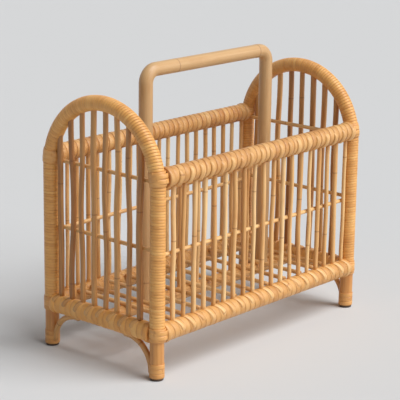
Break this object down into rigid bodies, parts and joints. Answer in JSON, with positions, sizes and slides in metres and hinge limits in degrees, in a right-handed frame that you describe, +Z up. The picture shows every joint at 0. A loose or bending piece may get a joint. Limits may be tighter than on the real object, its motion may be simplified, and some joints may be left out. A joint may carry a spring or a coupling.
{
  "type": "magazine basket",
  "caption": "Open magazine basket of bent cane poles: arched ends on short legs, wrapped rails, woven spindle sides and a central handle over a divided inside.",
  "frame": {"origin": "on the floor under the middle of the basket", "axes": "+X along the length to the right, +Y from the front to the back, +Z up"},
  "size_m": [0.4276, 0.2176, 0.3814],
  "materials": {
    "pole": "varnished rattan pole, satin",
    "binding": "flat cane strip, satin",
    "spindle": "round cane, satin",
    "weaver": "pale round cane, matt",
    "glide": "dark matt plastic"
  },
  "bodies": {
    "root": {"left_arch_pole": "pole", "left_bottom_rail": "pole", "left_bottom_binding": "binding", "left_spindle_1": "spindle", "left_spindle_2": "spindle", "left_spindle_3": "spindle", "left_spindle_4": "spindle", "left_spindle_5": "spindle", "left_spindle_6": "spindle", "left_spindle_7": "spindle", "left_spindle_8": "spindle", "left_lower_weaver": "weaver", "left_upper_weaver": "weaver", "front_left_brace": "pole", "front_left_glide": "glide", "back_left_brace": "pole", "back_left_glide": "glide", "right_arch_pole": "pole", "right_bottom_rail": "pole", "right_bottom_binding": "binding", "right_spindle_1": "spindle", "right_spindle_2": "spindle", "right_spindle_3": "spindle", "right_spindle_4": "spindle", "right_spindle_5": "spindle", "right_spindle_6": "spindle", "right_spindle_7": "spindle", "right_spindle_8": "spindle", "right_lower_weaver": "weaver", "right_upper_weaver": "weaver", "front_right_brace": "pole", "front_right_glide": "glide", "back_right_brace": "pole", "back_right_glide": "glide", "front_bottom_rail": "pole", "front_top_rail": "pole", "front_bottom_binding": "binding", "front_top_binding": "binding", "front_woven_panel": "spindle", "back_bottom_rail": "pole", "back_top_rail": "pole", "back_bottom_binding": "binding", "back_top_binding": "binding", "back_woven_panel": "spindle", "floor_grid": "spindle", "handle_frame": "pole", "divider_crossbar": "pole", "divider_spindle_1": "spindle", "divider_spindle_2": "spindle", "divider_spindle_3": "spindle", "divider_spindle_4": "spindle", "divider_spindle_5": "spindle", "divider_spindle_6": "spindle"}
  },
  "joints": []
}
